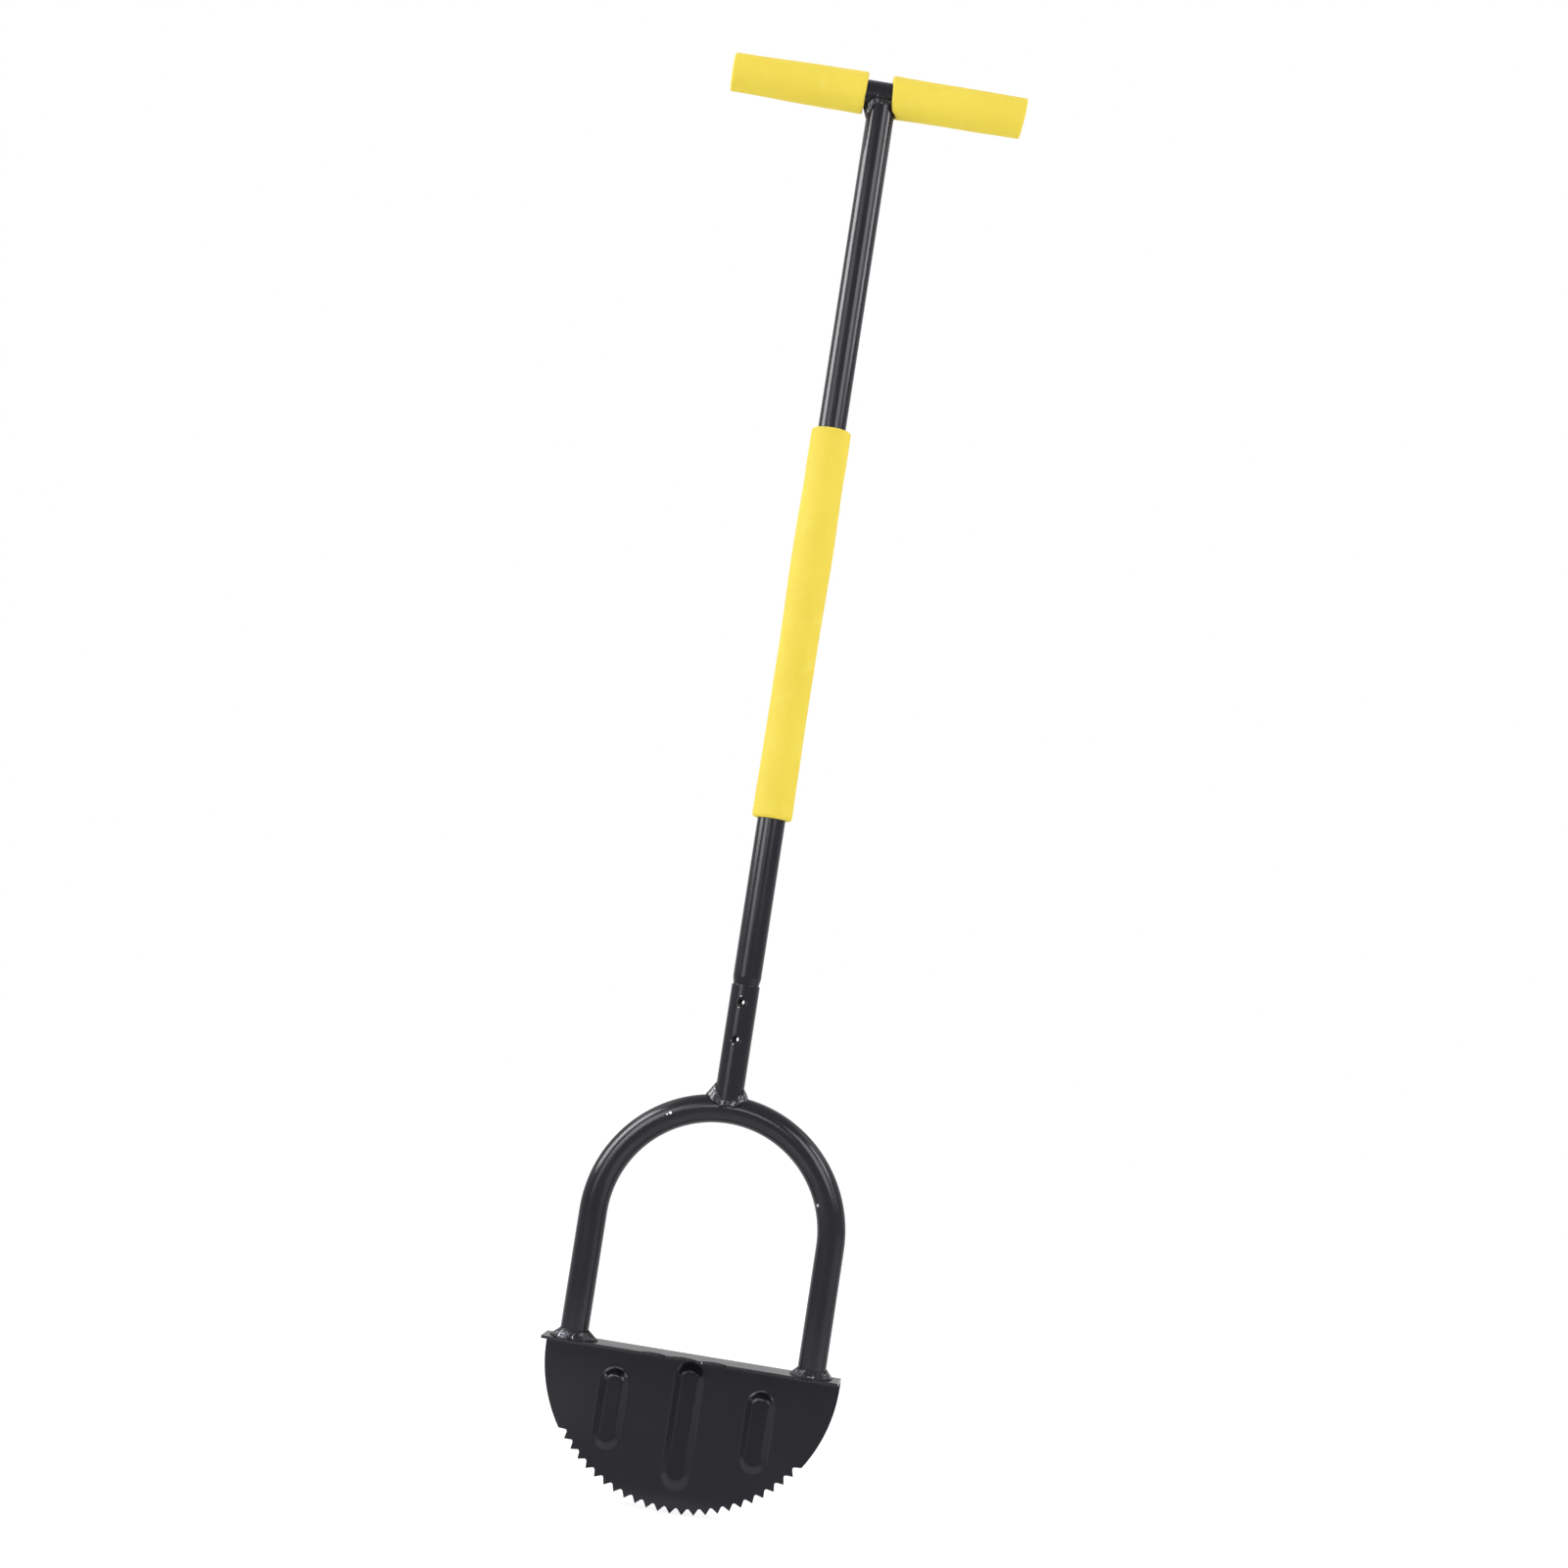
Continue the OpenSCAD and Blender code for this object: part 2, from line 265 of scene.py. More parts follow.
def paint_material(name, bevel, chips_and_glints=(), rub_and_highlight=0.5, shaded_below=None, pressed=False):
    """Satin black powder coat: fine orange peel, uneven sheen, edges lighter, partly rubbed through and partly
    as painted highlight, and a few bare chipped spots, which on the socket are painted highlight glints
    instead.
    Below the height given, the tube is dull and painted dark as shade. A pressed sheet has a scuffed tread and
    rib tops painted darker as shade."""
    coat_dark, coat_light = (0.0112, 0.0105, 0.0158, 1), (0.0140, 0.0132, 0.0192, 1)
    spigot_shade_dark, spigot_shade_light = (0.002, 0.002, 0.002, 1), (0.006, 0.006, 0.007, 1)
    rubbed_and_highlit_edge_tone, chip_and_glint_tone = (0.11, 0.11, 0.115, 1), (0.62, 0.62, 0.63, 1)
    rib_top_shade_tone = (0.0078, 0.0072, 0.0118, 1)
    mat, n, shader, where = new_material(name)
    cloud = n.noise(where, 28, 4, 0.6)
    grain = n.noise(where, 900, 2, 0.6)
    peel = n.noise(where, 420, 3, 0.55)
    bevelled = n.add("Bevel", samples=6)
    bevelled.inputs["Radius"].default_value = bevel * MM
    rounded = bevelled.outputs[0]
    normal = n.add("NewGeometry").outputs["Normal"]
    rubbed_and_highlit = rubbed_and_highlit_edges(n, where, rounded, normal, rub_and_highlight)
    tone = n.blend(n.span(cloud, 0.35, 0.7), coat_dark, coat_light)
    # Lighter edges: the coat rubbed through, and painted highlight on rims such as the socket's holes.
    tone = n.blend(rubbed_and_highlit, tone, rubbed_and_highlit_edge_tone)
    dull = n.math("ADD", n.span(cloud, 0.3, 0.75, 0.16, 0.21), n.span(grain, 0.3, 0.7, -0.015, 0.025))
    dull = n.math("ADD", dull, n.math("MULTIPLY", rubbed_and_highlit, 0.08))
    if chips_and_glints:
        # Bare chipped spots, and on the socket painted highlight glints, in a light metallic tone.
        metal = chips_and_glints_mask(n, where, chips_and_glints)
        tone = n.blend(metal, tone, chip_and_glint_tone)
        n.link(n.math("MULTIPLY", metal, 0.6), shader.inputs["Metallic"])
    if pressed:
        scuff = n.math("MULTIPLY", n.span(n.upward(normal), 0.8, 0.97),
                       n.span(n.noise(where, 60, 5, 0.7), 0.3, 0.65, 0.8, 1.0))
        dull = n.math("ADD", dull, n.math("MULTIPLY", scuff, 0.09))
        # Painted shade: the rib tops are coloured darker, as shade.
        tone = n.blend(n.span(n.ridge(), 0.75, 1.0), tone, rib_top_shade_tone)
    if shaded_below is not None:
        # Painted shade: the shaft's end inside the socket, seen through its holes, is coloured dark as shade.
        bare = n.span(n.upward(where), shaded_below * MM, (shaded_below - 1.5) * MM)
        tone = n.blend(bare, tone, n.blend(cloud, spigot_shade_dark, spigot_shade_light))
        dull = n.math("ADD", dull, n.math("MULTIPLY", bare, 0.5))
    n.link(tone, shader.inputs["Base Color"])
    n.link(dull, shader.inputs["Roughness"])
    shader.inputs["Specular IOR Level"].default_value = 0.16
    height = n.math("ADD", n.math("MULTIPLY", peel, 0.7), n.math("MULTIPLY", grain, 0.3))
    n.link(n.bump(height, 0.03, 0.0001, rounded), shader.inputs["Normal"])
    return mat


def weld_material():
    """Weld metal under thin black coat: dark in the ripples, silvery on ridges and lumps, and painted near
    black at the toes as shade.
    """
    coat_dark, coat_light = (0.008, 0.008, 0.011, 1), (0.022, 0.022, 0.027, 1)
    toe_shade_tone, silver = (0.001, 0.001, 0.0012, 1), (0.36, 0.37, 0.43, 1)
    mat, n, shader, where = new_material("weld_bead_coat")
    patch = n.noise(where, 105, 2, 0.5)
    fine = n.noise(where, 950, 3, 0.65)
    raised = n.ridge()
    bare = n.math("MULTIPLY", n.span(patch, 0.34, 0.50), n.span(raised, 0.42, 0.70))
    bare = n.math("MULTIPLY", bare, n.span(fine, 0.2, 0.55, 0.6, 1.0))
    streak = n.span(n.noise(where, 330, 2, 0.5), 0.55, 0.64)
    stroke = n.math("MULTIPLY", streak, n.span(raised, 0.06, 0.22, 0, 0.5))
    bare = n.math("MAXIMUM", bare, stroke)
    toe_shade = n.span(raised, -0.05, -0.6)
    tone = n.blend(n.span(fine, 0.3, 0.75), coat_dark, coat_light)
    # Painted shade: the toes of the bead are coloured near black, as shade.
    tone = n.blend(toe_shade, tone, toe_shade_tone)
    n.link(n.blend(bare, tone, silver), shader.inputs["Base Color"])
    n.link(n.math("MULTIPLY", bare, 0.7), shader.inputs["Metallic"])
    dull = n.math("ADD", n.span(patch, 0.3, 0.7, 0.32, 0.22), n.math("MULTIPLY", toe_shade, 0.65))
    n.link(dull, shader.inputs["Roughness"])
    shader.inputs["Specular IOR Level"].default_value = 0.18
    n.link(n.bump(fine, 0.2, 0.0002), shader.inputs["Normal"])
    return mat


def foam_material():
    """Matte closed-cell foam: fine skin with pores, faint clouds, and paler rubbed patches."""
    foam_dark, foam_light = (0.825, 0.643, 0.058, 1), (0.862, 0.686, 0.070, 1)
    pore_tone, rubbed_tone = (0.74, 0.555, 0.055, 1), (0.90, 0.745, 0.13, 1)
    mat, n, shader, where = new_material("yellow_foam_skin")
    cloud = n.noise(where, 22, 4, 0.6)
    cells = n.add("TexVoronoi", feature="F1")
    n.link(where, cells.inputs["Vector"])
    cells.inputs["Scale"].default_value = 1500
    skin = n.noise(where, 620, 4, 0.65)
    rubbed = n.noise(where, 75, 3, 0.6)
    tone = n.blend(n.span(cloud, 0.3, 0.7), foam_dark, foam_light)
    tone = n.blend(n.span(skin, 0.38, 0.25, 0, 0.35), tone, pore_tone)
    tone = n.blend(n.span(rubbed, 0.58, 0.75, 0, 0.4), tone, rubbed_tone)
    n.link(tone, shader.inputs["Base Color"])
    n.link(n.span(rubbed, 0.3, 0.7, 0.86, 0.74), shader.inputs["Roughness"])
    shader.inputs["Specular IOR Level"].default_value = 0.2
    shader.inputs["Sheen Weight"].default_value = 0.06
    shader.inputs["Sheen Roughness"].default_value = 0.5
    height = n.math("ADD", n.math("MULTIPLY", skin, 0.7), n.math("MULTIPLY", cells.outputs["Distance"], 0.4))
    n.link(n.bump(height, 0.3, 0.0004), shader.inputs["Normal"])
    return mat


# Mesh helpers

def wave(x, y, z, scale, seed):
    """Smooth noise from -1 to 1 at a point in millimetres; scale is its grain in millimetres."""
    return noise.noise(Vector((x / scale + 17.3 * seed, y / scale - 9.1 * seed, z / scale + 4.7 * seed)))


def smooth(t):
    """Soft step from 0 to 1."""
    t = min(max(t, 0.0), 1.0)
    return t * t * (3 - 2 * t)


def solid_object(name, points, faces, material, ridge=None):
    """Smooth closed object from points in millimetres; ridge is a value at each point for its material."""
    mesh = bpy.data.meshes.new(name)
    mesh.from_pydata([Vector(p) * MM for p in points], [], faces)
    if ridge is not None:
        layer = mesh.attributes.new("ridge", "FLOAT", "POINT")
        layer.data.foreach_set("value", np.asarray(ridge, np.float32))
    work = bmesh.new()
    work.from_mesh(mesh)
    bmesh.ops.remove_doubles(work, verts=work.verts, dist=1e-6)
    bmesh.ops.recalc_face_normals(work, faces=work.faces)
    work.to_mesh(mesh)
    work.free()
    mesh.polygons.foreach_set("use_smooth", [True] * len(mesh.polygons))
    mesh.materials.append(material)
    obj = bpy.data.objects.new(name, mesh)
    scene.collection.objects.link(obj)
    return obj


def grid_object(name, rows, wrap_rows, material, ridge=None):
    """Object from rows of points in millimetres; each row is a ring, and the rows close up too if wanted."""
    count, around = len(rows), len(rows[0])
    points = [p for row in rows for p in row]
    faces = []
    for i in range(count if wrap_rows else count - 1):
        j = (i + 1) % count
        for k in range(around):
            m = (k + 1) % around
            faces.append((i * around + k, i * around + m, j * around + m, j * around + k))
    return solid_object(name, points, faces, material, ridge)


def dress(obj, body, node):
    """Puts a new piece on its body, in a CAD node's place, and hides that node."""
    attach(obj, body)
    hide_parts(node)


# Pressed blade

def blade_arc(start, end, count):
    """Points along the half moon between two angles, as (across, up) from its middle and the tooth tips."""
    return [(BLADE_R * math.cos(a), BLADE_R + BLADE_R * math.sin(a))
            for a in np.radians(np.linspace(start, end, count))]


def tooth_gap():
    """Round bottom of a gap that opens outwards along X from the half moon's centre, and the tip after it."""
    half = math.radians(GAP_HALF_ANGLE)
    pitch = math.radians(TOOTH_PITCH)
    reach, chord = BLADE_R * math.sin(pitch / 2), BLADE_R * math.cos(pitch / 2)
    middle = reach / math.tan(half) - GAP_R / math.sin(half)
    gap = [(chord - middle - GAP_R * math.cos(a), GAP_R * math.sin(a))
           for a in np.linspace(half - math.pi / 2, math.pi / 2 - half, 9)]
    return gap + [(chord, reach)]


def serration():
    """The teeth from left to right: the first tip, and then each gap with the tip after it."""
    teeth = blade_arc(FIRST_TIP, FIRST_TIP, 1)
    gap = tooth_gap()
    for i in range(GAP_COUNT):
        turn = math.radians(-90 + (i - (GAP_COUNT - 1) / 2) * TOOTH_PITCH)
        c, s = math.cos(turn), math.sin(turn)
        teeth += [(x * c - y * s, BLADE_R + x * s + y * c) for x, y in gap]
    return teeth


def step_edge():
    """Free edge of the step from left to right, with its three scallops."""
    radius = (SCALLOP_HALF ** 2 + SCALLOP_DEPTH ** 2) / (2 * SCALLOP_DEPTH)
    left, right, spacing = -48, 40.1, 0.9
    edge = []
    for x in np.concatenate(([-BLADE_R], np.arange(left, right, spacing), [BLADE_R])):
        depth = 0.0
        for i in (-1, 0, 1):
            off = x - SCALLOP_SHIFT - i * SCALLOP_PITCH
            if abs(off) < SCALLOP_HALF:
                depth = math.sqrt(radius ** 2 - off * off) - (radius - SCALLOP_DEPTH)
        edge.append((x, SHEET_END - depth))
    return edge


def blade_outline():
    """Flat outline of the sheet before folding, as (across, up) from the head's middle and the tooth tips."""
    arc_steps = 14
    out = [(BLADE_R, v) for v in reversed(FOLD_ROWS)]
    out += blade_arc(0, -180 - FIRST_TIP, arc_steps)[:-1]
    out += reversed(serration())
    out += blade_arc(FIRST_TIP, -180, arc_steps)[1:]
    out += [(-BLADE_R, v) for v in FOLD_ROWS]
    return out + step_edge()


def rib_height(x, v):
    """Distance outside the nearest rib's outline at a flat point, and how far the sheet is pressed forward.
    The ribs have soft sides, and longer slopes at their ends."""
    side_foot, side_slope = 1.8, 5.4
    low_end_spread, end_spread = 1.3, 2.4
    best, foot, slope = RIB_HALF, side_foot, side_slope
    for at, drop, length in RIBS:
        high = BLADE_R - drop - RIB_HALF
        low = BLADE_R - drop - length + RIB_HALF
        rise = v - min(max(v, low), high)
        away = math.hypot(x - at, rise)
        if away - RIB_HALF < best:
            best = away - RIB_HALF
            tilt = rise / max(away, 0.01)
            foot = side_foot + low_end_spread * max(-tilt, 0.0)
            slope = side_slope + end_spread * abs(tilt)
    return best, RIB_H * smooth((foot - best) / slope)


def sheet_points():
    """Points inside the flat outline: close together on the ribs' slopes, and wider apart elsewhere."""
    spacing, coarse = 1.0, 5
    bottom, half_width, past_end = 8.5, BLADE_R - 2, 0.1
    arc_margin, edge_margin, fold_margin = 7, 6, 1
    slope_middle, slope_reach = -0.9, 5.0
    inner = []
    for v in np.arange(bottom, SHEET_END - edge_margin, spacing):
        for x in np.arange(-half_width, half_width + past_end, spacing):
            if v < BLADE_R and math.hypot(x, v - BLADE_R) > BLADE_R - arc_margin:
                continue
            if FOLD_Z - fold_margin <= v <= FOLD_Z + FOLD_LEN + fold_margin:
                continue
            on_slope = abs(rib_height(x, v)[0] - slope_middle) < slope_reach
            if on_slope or (int(v) % coarse == 0 and int(x + half_width) % coarse == 0):
                inner.append((x, v))
    fold_half = BLADE_R - coarse
    for v in FOLD_ROWS:
        inner += [(x, v) for x in np.arange(-fold_half, fold_half + past_end, coarse)]
    return inner


def fold_sheet(x, v, side):
    """Place of a flat point on the back (side 1) or front (side -1) of the folded and pressed sheet, and
    the share of the ribs' height that it is pressed."""
    turn = min(max((v - FOLD_Z) / FOLD_LEN, 0.0), 1.0) * FOLD_TURN
    back, rise = math.cos(turn), math.sin(turn)
    ahead = max(v - FOLD_Z - FOLD_LEN, 0.0)
    y = STEP_BACK + FOLD_R * back - ahead * math.sin(FOLD_TURN)
    z = min(v, FOLD_Z) + FOLD_R * rise + ahead * math.cos(FOLD_TURN)
    height = rib_height(x, v)[1]
    dent = 0.08 * wave(x, v, 0, 38, 21)
    lift = side * SHEET_HALF - (height + dent) * back
    return (HEAD_X + x, y + back * lift, z + rise * lift), height / RIB_H


def make_blade(material):
    outline = blade_outline()
    count = len(outline)
    flat = [Vector(p) for p in outline + sheet_points()]
    edges = [(i, (i + 1) % count) for i in range(count)]
    flat, _, faces, *_ = geometry.delaunay_2d_cdt(flat, edges, [], 1, 1e-5)
    points, pressed = zip(*[fold_sheet(p.x, p.y, side) for side in (1, -1) for p in flat])
    total = len(flat)
    solid, sides = [], {}
    for f in faces:
        solid.append(tuple(f))
        solid.append(tuple(total + i for i in reversed(f)))
        sides.update(dict.fromkeys(zip(f, list(f[1:]) + [f[0]])))
    solid += [(b, a, total + a, total + b) for a, b in sides if (b, a) not in sides]
    obj = solid_object("pressed_blade", points, solid, material, pressed)
    obj.data.set_sharp_from_angle(angle=math.radians(40))
    dress(obj, "head", "blade")


# Foam grips

def sleeve_profile(length, outer, round_r, cap=0.0):
    """Closed profile of a sleeve as (distance along, radius), from the bore's far end round the outside.
    outer(s) is its radius, and a cap with a slight dome closes its far end."""
    ring_gap, dome = 1.6, 0.5
    out = []
    if cap:
        out += [(length - cap, r) for r in np.linspace(0.0, FOAM_BORE, 5)]
        out += [(s, FOAM_BORE) for s in np.linspace(length - cap, 0.0, 8)[1:]]
    else:
        out += [(s, FOAM_BORE) for s in np.linspace(length, 0.0, 8)]
    out += [(0.0, r) for r in np.linspace(FOAM_BORE, outer(0.0) - round_r, 5)[1:]]
    quarter = np.linspace(0, math.pi / 2, 9)[1:]
    out += [(round_r * (1 - math.cos(a)), outer(round_r) - round_r * (1 - math.sin(a))) for a in quarter]
    out += [(s, outer(s)) for s in np.linspace(round_r, length - round_r, int(length / ring_gap))[1:]]
    end = outer(length - round_r)
    out += [(length - round_r * (1 - math.sin(a)), end - round_r * (1 - math.cos(a))) for a in quarter]
    if cap:
        out += [(length + dome * (1 - (r / end) ** 2), r) for r in np.linspace(end - round_r, 0.0, 10)[1:]]
    else:
        out += [(length, r) for r in np.linspace(end - round_r, FOAM_BORE, 5)[1:]]
    return out


def foam_sleeve(name, node, place, profile, end_shift, material, seed, through=False):
    """Foam sleeve from its profile. place(s, u, v) puts a point, end_shift(s, u, v) moves it along the
    sleeve, and the skin swells unevenly. A through sleeve is open at both ends."""
    around, skin_r = 96, TUBE_R + 1
    rows = []
    for s, r in profile:
        ring = []
        for k in range(around):
            a = 2 * math.pi * k / around
            u, v = math.cos(a), math.sin(a)
            x, y, z = place(s, r * u, r * v)
            share = min(max(r - skin_r, 0.0) / 2, 1.0)
            swell, dimple = 0.16 * wave(x, y, z, 26, seed), 0.07 * wave(x, y, z, 7, seed + 1)
            grow = share * (swell + dimple)
            shift = end_shift(s, r * u, r * v)
            ring.append(place(s + shift, (r + grow) * u, (r + grow) * v))
        rows.append(ring)
    obj = grid_object(name, rows, through, material)
    dress(obj, "handle", node)


def on_cross(along, side, rise):
    """Point on the T handle: distance from the shaft axis along it, to its back, and above its axis."""
    c, s = math.cos(CROSS_TURN), math.sin(CROSS_TURN)
    return (along * c - side * s, along * s + side * c, CROSS_Z + rise)


def make_left_grip(material):
    length = -LEFT_GRIP_X - CROSS_LEFT
    end_room = 0.4

    def outer(s):
        """Flared at the inner end, and thinner towards the outer end."""
        return HAND_GRIP_R + 0.25 * smooth(1 - s / 22) - 1.15 * smooth((s - 25) / 73)

    def place(s, u, v):
        return on_cross(-LEFT_GRIP_X - s, v, u)

    def end_shift(s, u, v):
        """The inner end is uneven and cut a little askew."""
        return smooth(1 - s / 12) * (0.5 * wave(u, v, 3, 9, 5) - 0.45 * u / HAND_GRIP_R)

    profile = sleeve_profile(length - end_room, outer, round_r=1.6, cap=FOAM_CAP)
    foam_sleeve("left_foam_grip", "left_hand_grip", place, profile, end_shift, material, 1)


def make_right_grip(material):
    length = CROSS_RIGHT - RIGHT_GRIP_X
    scoop_r = TUBE_R + 0.8
    end_room = 0.8

    def outer(s):
        """Flared at the inner end, and slightly thinner at the outer end."""
        return HAND_GRIP_R + 0.35 * smooth(1 - s / 26) - 0.25 * smooth((s - 60) / 35)

    def place(s, u, v):
        return on_cross(RIGHT_GRIP_X + s, v, u)

    def end_shift(s, u, v):
        """The inner end is scooped where it meets the shaft, and the outer end is cut a little askew."""
        hug = math.sqrt(max(0.0, scoop_r ** 2 - v * v)) - RIGHT_GRIP_X
        low = smooth((2.0 - u) / 9.0)
        lean = 1.7 * (max(2.0 - u, 0.0) / 14.3) ** 2
        inner_end = max(hug * low, lean) - 0.7 * smooth(u / 12)
        outer_end = 1.1 * (u / HAND_GRIP_R) - 0.6
        return inner_end * smooth(1 - s / 16) + outer_end * smooth((s - length + 14) / 14)

    profile = sleeve_profile(length - end_room, outer, round_r=1.4, cap=FOAM_CAP)
    foam_sleeve("right_foam_grip", "right_hand_grip", place, profile, end_shift, material, 2)


def make_shaft_grip(material):
    end_room = 0.6

    def outer(s):
        """Fuller above its middle and at both ends."""
        swell = 0.85 * math.exp(-((s - 192) / 44) ** 2)
        return SHAFT_FOAM_R + swell + 0.46 * smooth(1 - s / 85) + 0.45 * smooth((s - 238) / 24)

    def place(s, u, v):
        return (u, v, SHAFT_GRIP_Z + s)

    def end_shift(s, u, v):
        """The upper end rises a little towards the tube."""
        inward = 1 - (math.hypot(u, v) / SHAFT_FOAM_R) ** 2 * 0.5
        return 0.4 * smooth((s - SHAFT_GRIP_LEN + 5) / 5) * inward

    profile = sleeve_profile(SHAFT_GRIP_LEN - end_room, outer, round_r=2.2)
    foam_sleeve("shaft_foam_grip", "shaft_grip", place, profile, end_shift, material, 3, through=True)


# Weld beads

# Share of a bead's reach that lies buried in its tubes
BURIED_SHARE = 0.3


def fillet(share, back):
    """Flattens the outer quarter of a bead's round section to a fillet; the rest is buried in the tubes."""
    return share ** 1.9 if share > 0 else back * share


def lay_drops(length, shine, seed):
    """Drops along a seam: each one's place, half length, height, glint and slant."""
    chance = random.Random(seed)
    drops = []
    at = 0.0
    while at < length - 1.0:
        step = chance.uniform(1.5, 3.6)
        drops.append((at, 0.75 * step + chance.uniform(0.5, 1.3), chance.uniform(0.12, 0.42),
                      chance.uniform(0.25, 1.0) * shine(at / length), chance.uniform(-0.7, 0.7)))
        at += step
    return drops


def highest_drop(drops, at, length, e1, e2):
    """Height and glint of the highest drop at a place along a seam and round its section."""
    grow, bare = 0.0, 0.0
    for centre, half, high, glint, slant in drops:
        away = at - centre + slant * (e1 - e2) - 0.5 * half * abs(e1 - e2)
        away = (away + length / 2) % length - length / 2
        dome = 1 - (away / half) ** 2
        if dome > 0 and high * math.sqrt(dome) > grow:
            grow = high * math.sqrt(dome)
            bare = glint * dome
    return grow, bare


def bead(name, body, node, seam, size, shine, material, seed, back=BURIED_SHARE):
    """Weld bead along a closed seam, laid as uneven overlapping drops. seam(t) gives the point and the two
    directions that it fillets, size(t) how far it reaches along each, and shine(t) how bare its drops are;
    back is the share of its reach that it spreads the other way along the first direction."""
    steps, around = 560, 28
    base = [seam(i / steps) for i in range(steps)]
    reached = [0.0]
    for i in range(steps):
        reached.append(reached[-1] + (Vector(base[(i + 1) % steps][0]) - Vector(base[i][0])).length)
    length = reached[-1]
    drops = lay_drops(length, shine, seed)
    rows, ridges = [], []
    for i, (point, first, second) in enumerate(base):
        reach_1, reach_2 = size(i / steps)
        p, d1, d2 = Vector(point), Vector(first), Vector(second)
        ring = []
        for k in range(around):
            a = 2 * math.pi * k / around
            e1, e2 = math.cos(a), math.sin(a)
            grow, bare = highest_drop(drops, reached[i], length, e1, e2)
            q = p + 2 * e1 * d1 + 2 * e2 * d2
            lump, ripple = 0.34 * wave(*q, 5.5, seed), 0.05 * wave(*q, 1.7, seed + 7)
            swell = 0.86 + grow + lump + ripple
            along_1 = reach_1 * fillet(e1, back) * swell
            along_2 = reach_2 * fillet(e2, BURIED_SHARE) * swell
            ring.append(p + d1 * along_1 + d2 * along_2)
            # Painted shade at the bead's toes, stored as a negative value for the material.
            toe_shade = smooth((max(e1, e2) - 0.90) / 0.1) * smooth(4 * (grow + 0.1))
            ridges.append(bare - toe_shade)
        rows.append(ring)
    dress(grid_object(name, rows, True, material, ridges), body, node)


def arc_lump(t, centre, width, height):
    """A lump on a closed seam, at a share of its length."""
    away = abs((t - centre + 0.5) % 1.0 - 0.5)
    return height * math.exp(-(away / width) ** 2)


def foot_seam(x):
    """Seam round the leg at x, on the sloping tread."""
    def seam(t):
        a = 2 * math.pi * t
        out = (math.cos(a), math.sin(a), TREAD_SLOPE * math.sin(a))
        return (x + TUBE_R * out[0], TUBE_R * out[1], STEP_Z + TUBE_R * out[2]), (0, 0, 1), out
    return seam


def frontness(t):
    """1 on the front of a foot's seam and 0 on its back."""
    return smooth(math.sin(-2 * math.pi * t) * 1.4)


def make_left_foot_bead(material):
    def size(t):
        side = 5.4 + arc_lump(t, 0.47, 0.08, 0.6) + arc_lump(t, 0.97, 0.03, 1.2)
        return 5.0 + arc_lump(t, 0.55, 0.07, 0.6), side - 0.5 * frontness(t)

    def shine(t):
        return 0.3 + arc_lump(t, 0.66, 0.055, 0.9)

    seam = foot_seam(HEAD_X - YOKE_R)
    bead("left_foot_bead", "head", "left_foot_weld", seam, size, shine, material, 11)


def make_right_foot_bead(material):
    def size(t):
        return 4.6 + arc_lump(t, 0.08, 0.06, 0.6), 4.6 - 0.2 * frontness(t)

    def shine(t):
        return 0.3 + arc_lump(t, 0.62, 0.04, 0.25) + arc_lump(t, 0.93, 0.03, 0.7)

    seam = foot_seam(HEAD_X + YOKE_R)
    bead("right_foot_bead", "head", "right_foot_weld", seam, size, shine, material, 12)


def make_socket_bead(material):
    def seam(t):
        """Seam of the socket on the crown: round the socket, at the height of the yoke's upper side."""
        a = 2 * math.pi * t
        x, y = TUBE_R * math.cos(a), TUBE_R * math.sin(a)
        radius = YOKE_R + math.sqrt(max(TUBE_R ** 2 - y * y, 0.0))
        on_yoke = YOKE_Z + math.sqrt(radius ** 2 - (x - HEAD_X) ** 2)
        lowest = CROWN_Z - 7.2 + 1.4 * math.sin(3 * a) + arc_lump(t, 0.88, 0.06, 2.2)
        lean = abs(y) / TUBE_R
        out = Vector((math.cos(a), math.sin(a), -0.9 * lean)).normalized()
        return (x, y, max(on_yoke, lowest)), (0, 0, 1), tuple(out)

    def size(t):
        gap = arc_lump(t, 0.78, 0.035, 1.5)
        return (3.4 + arc_lump(t, 0.50, 0.08, 3.6) + arc_lump(t, 0.99, 0.06, 2.6) - gap,
                3.3 + arc_lump(t, 0.55, 0.08, 1.1) + arc_lump(t, 0.95, 0.06, 0.9) - gap)

    def shine(t):
        left = arc_lump(t, 0.60, 0.06, 0.55) + arc_lump(t, 0.68, 0.03, 0.4)
        return 0.3 + left + arc_lump(t, 0.91, 0.05, 0.7)

    bead("socket_bead", "head", "socket_weld", seam, size, shine, material, 13)


def make_cross_bead(material):
    turn = Matrix.Rotation(CROSS_TURN, 3, "Z")
    least_drop = 6.0

    def seam(t):
        """Seam of the shaft's coped end, kept well below the cross tube's axis at the front and back."""
        a = 2 * math.pi * t
        along, side = TUBE_R * math.cos(a), TUBE_R * math.sin(a)
        rise = -max(abs(along), least_drop)
        out = turn @ Vector((math.cos(a), math.sin(a), 0.35 * abs(math.sin(a)))).normalized()
        return on_cross(along, side, rise), (0, 0, -1), tuple(out)

    def size(t):
        a = 2 * math.pi * t
        left = smooth(-math.cos(a))
        face = abs(math.sin(a)) ** 2
        return 1.7 + 1.2 * face + 4.8 * left ** 2, 1.1 + 0.5 * face + 1.45 * left

    def shine(t):
        front = arc_lump(t, 0.67, 0.015, 0.5) + arc_lump(t, 0.75, 0.015, 0.5) + arc_lump(t, 0.83, 0.02, 0.5)
        return 0.25 - arc_lump(t, 0.56, 0.07, 0.17) + front

    bead("cross_bead", "handle", "cross_tube_weld", seam, size, shine, material, 14, back=0.9)


# Stage, lights and world

